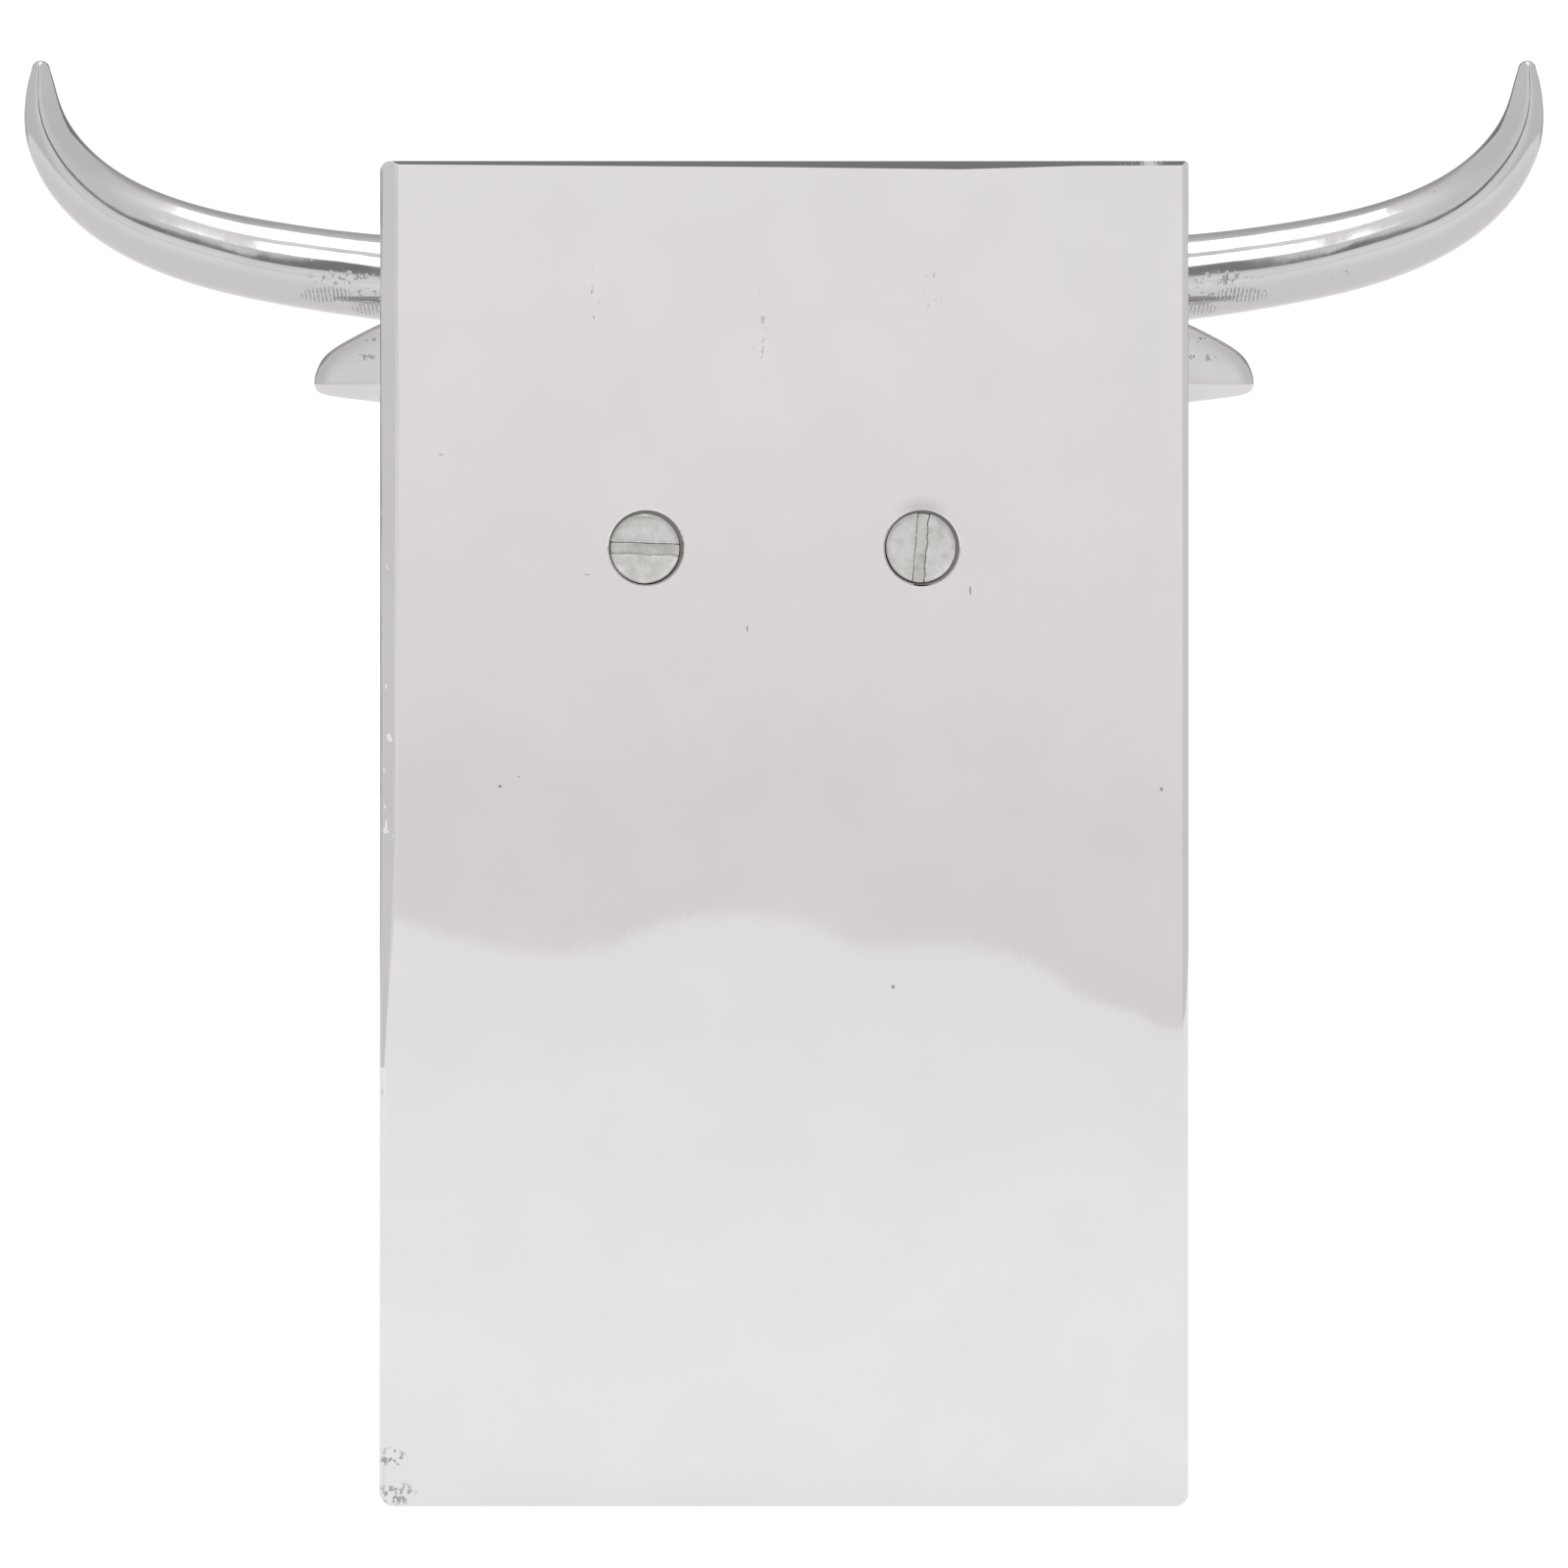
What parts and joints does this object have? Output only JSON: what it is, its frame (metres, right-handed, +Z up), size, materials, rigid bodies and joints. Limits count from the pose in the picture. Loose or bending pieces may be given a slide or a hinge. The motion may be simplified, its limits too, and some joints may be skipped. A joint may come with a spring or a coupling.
{
  "type": "bookend",
  "caption": "Cast-aluminium bookend: a tall flat upright on a forward foot, with a bull's head on its far side whose curved horns and ears reach past both edges.",
  "frame": {"origin": "middle of the overall box in X and Y, at the shelf surface", "axes": "+X along the horns towards the bull's left, +Y out of the face that books stand against, +Z up"},
  "size_m": [0.2204, 0.1094, 0.2067],
  "materials": {
    "brushed_casting": "hand-brushed, fine vertical grain",
    "polished_casting": "buffed, with casting pits and file marks",
    "screw_steel": "dull, stained"
  },
  "bodies": {
    "root": {"frame_casting": "brushed_casting", "bull_head": "polished_casting", "left_horn": "polished_casting", "right_horn": "polished_casting", "left_ear": "polished_casting", "right_ear": "polished_casting", "left_screw": "screw_steel", "right_screw": "screw_steel"}
  },
  "joints": []
}
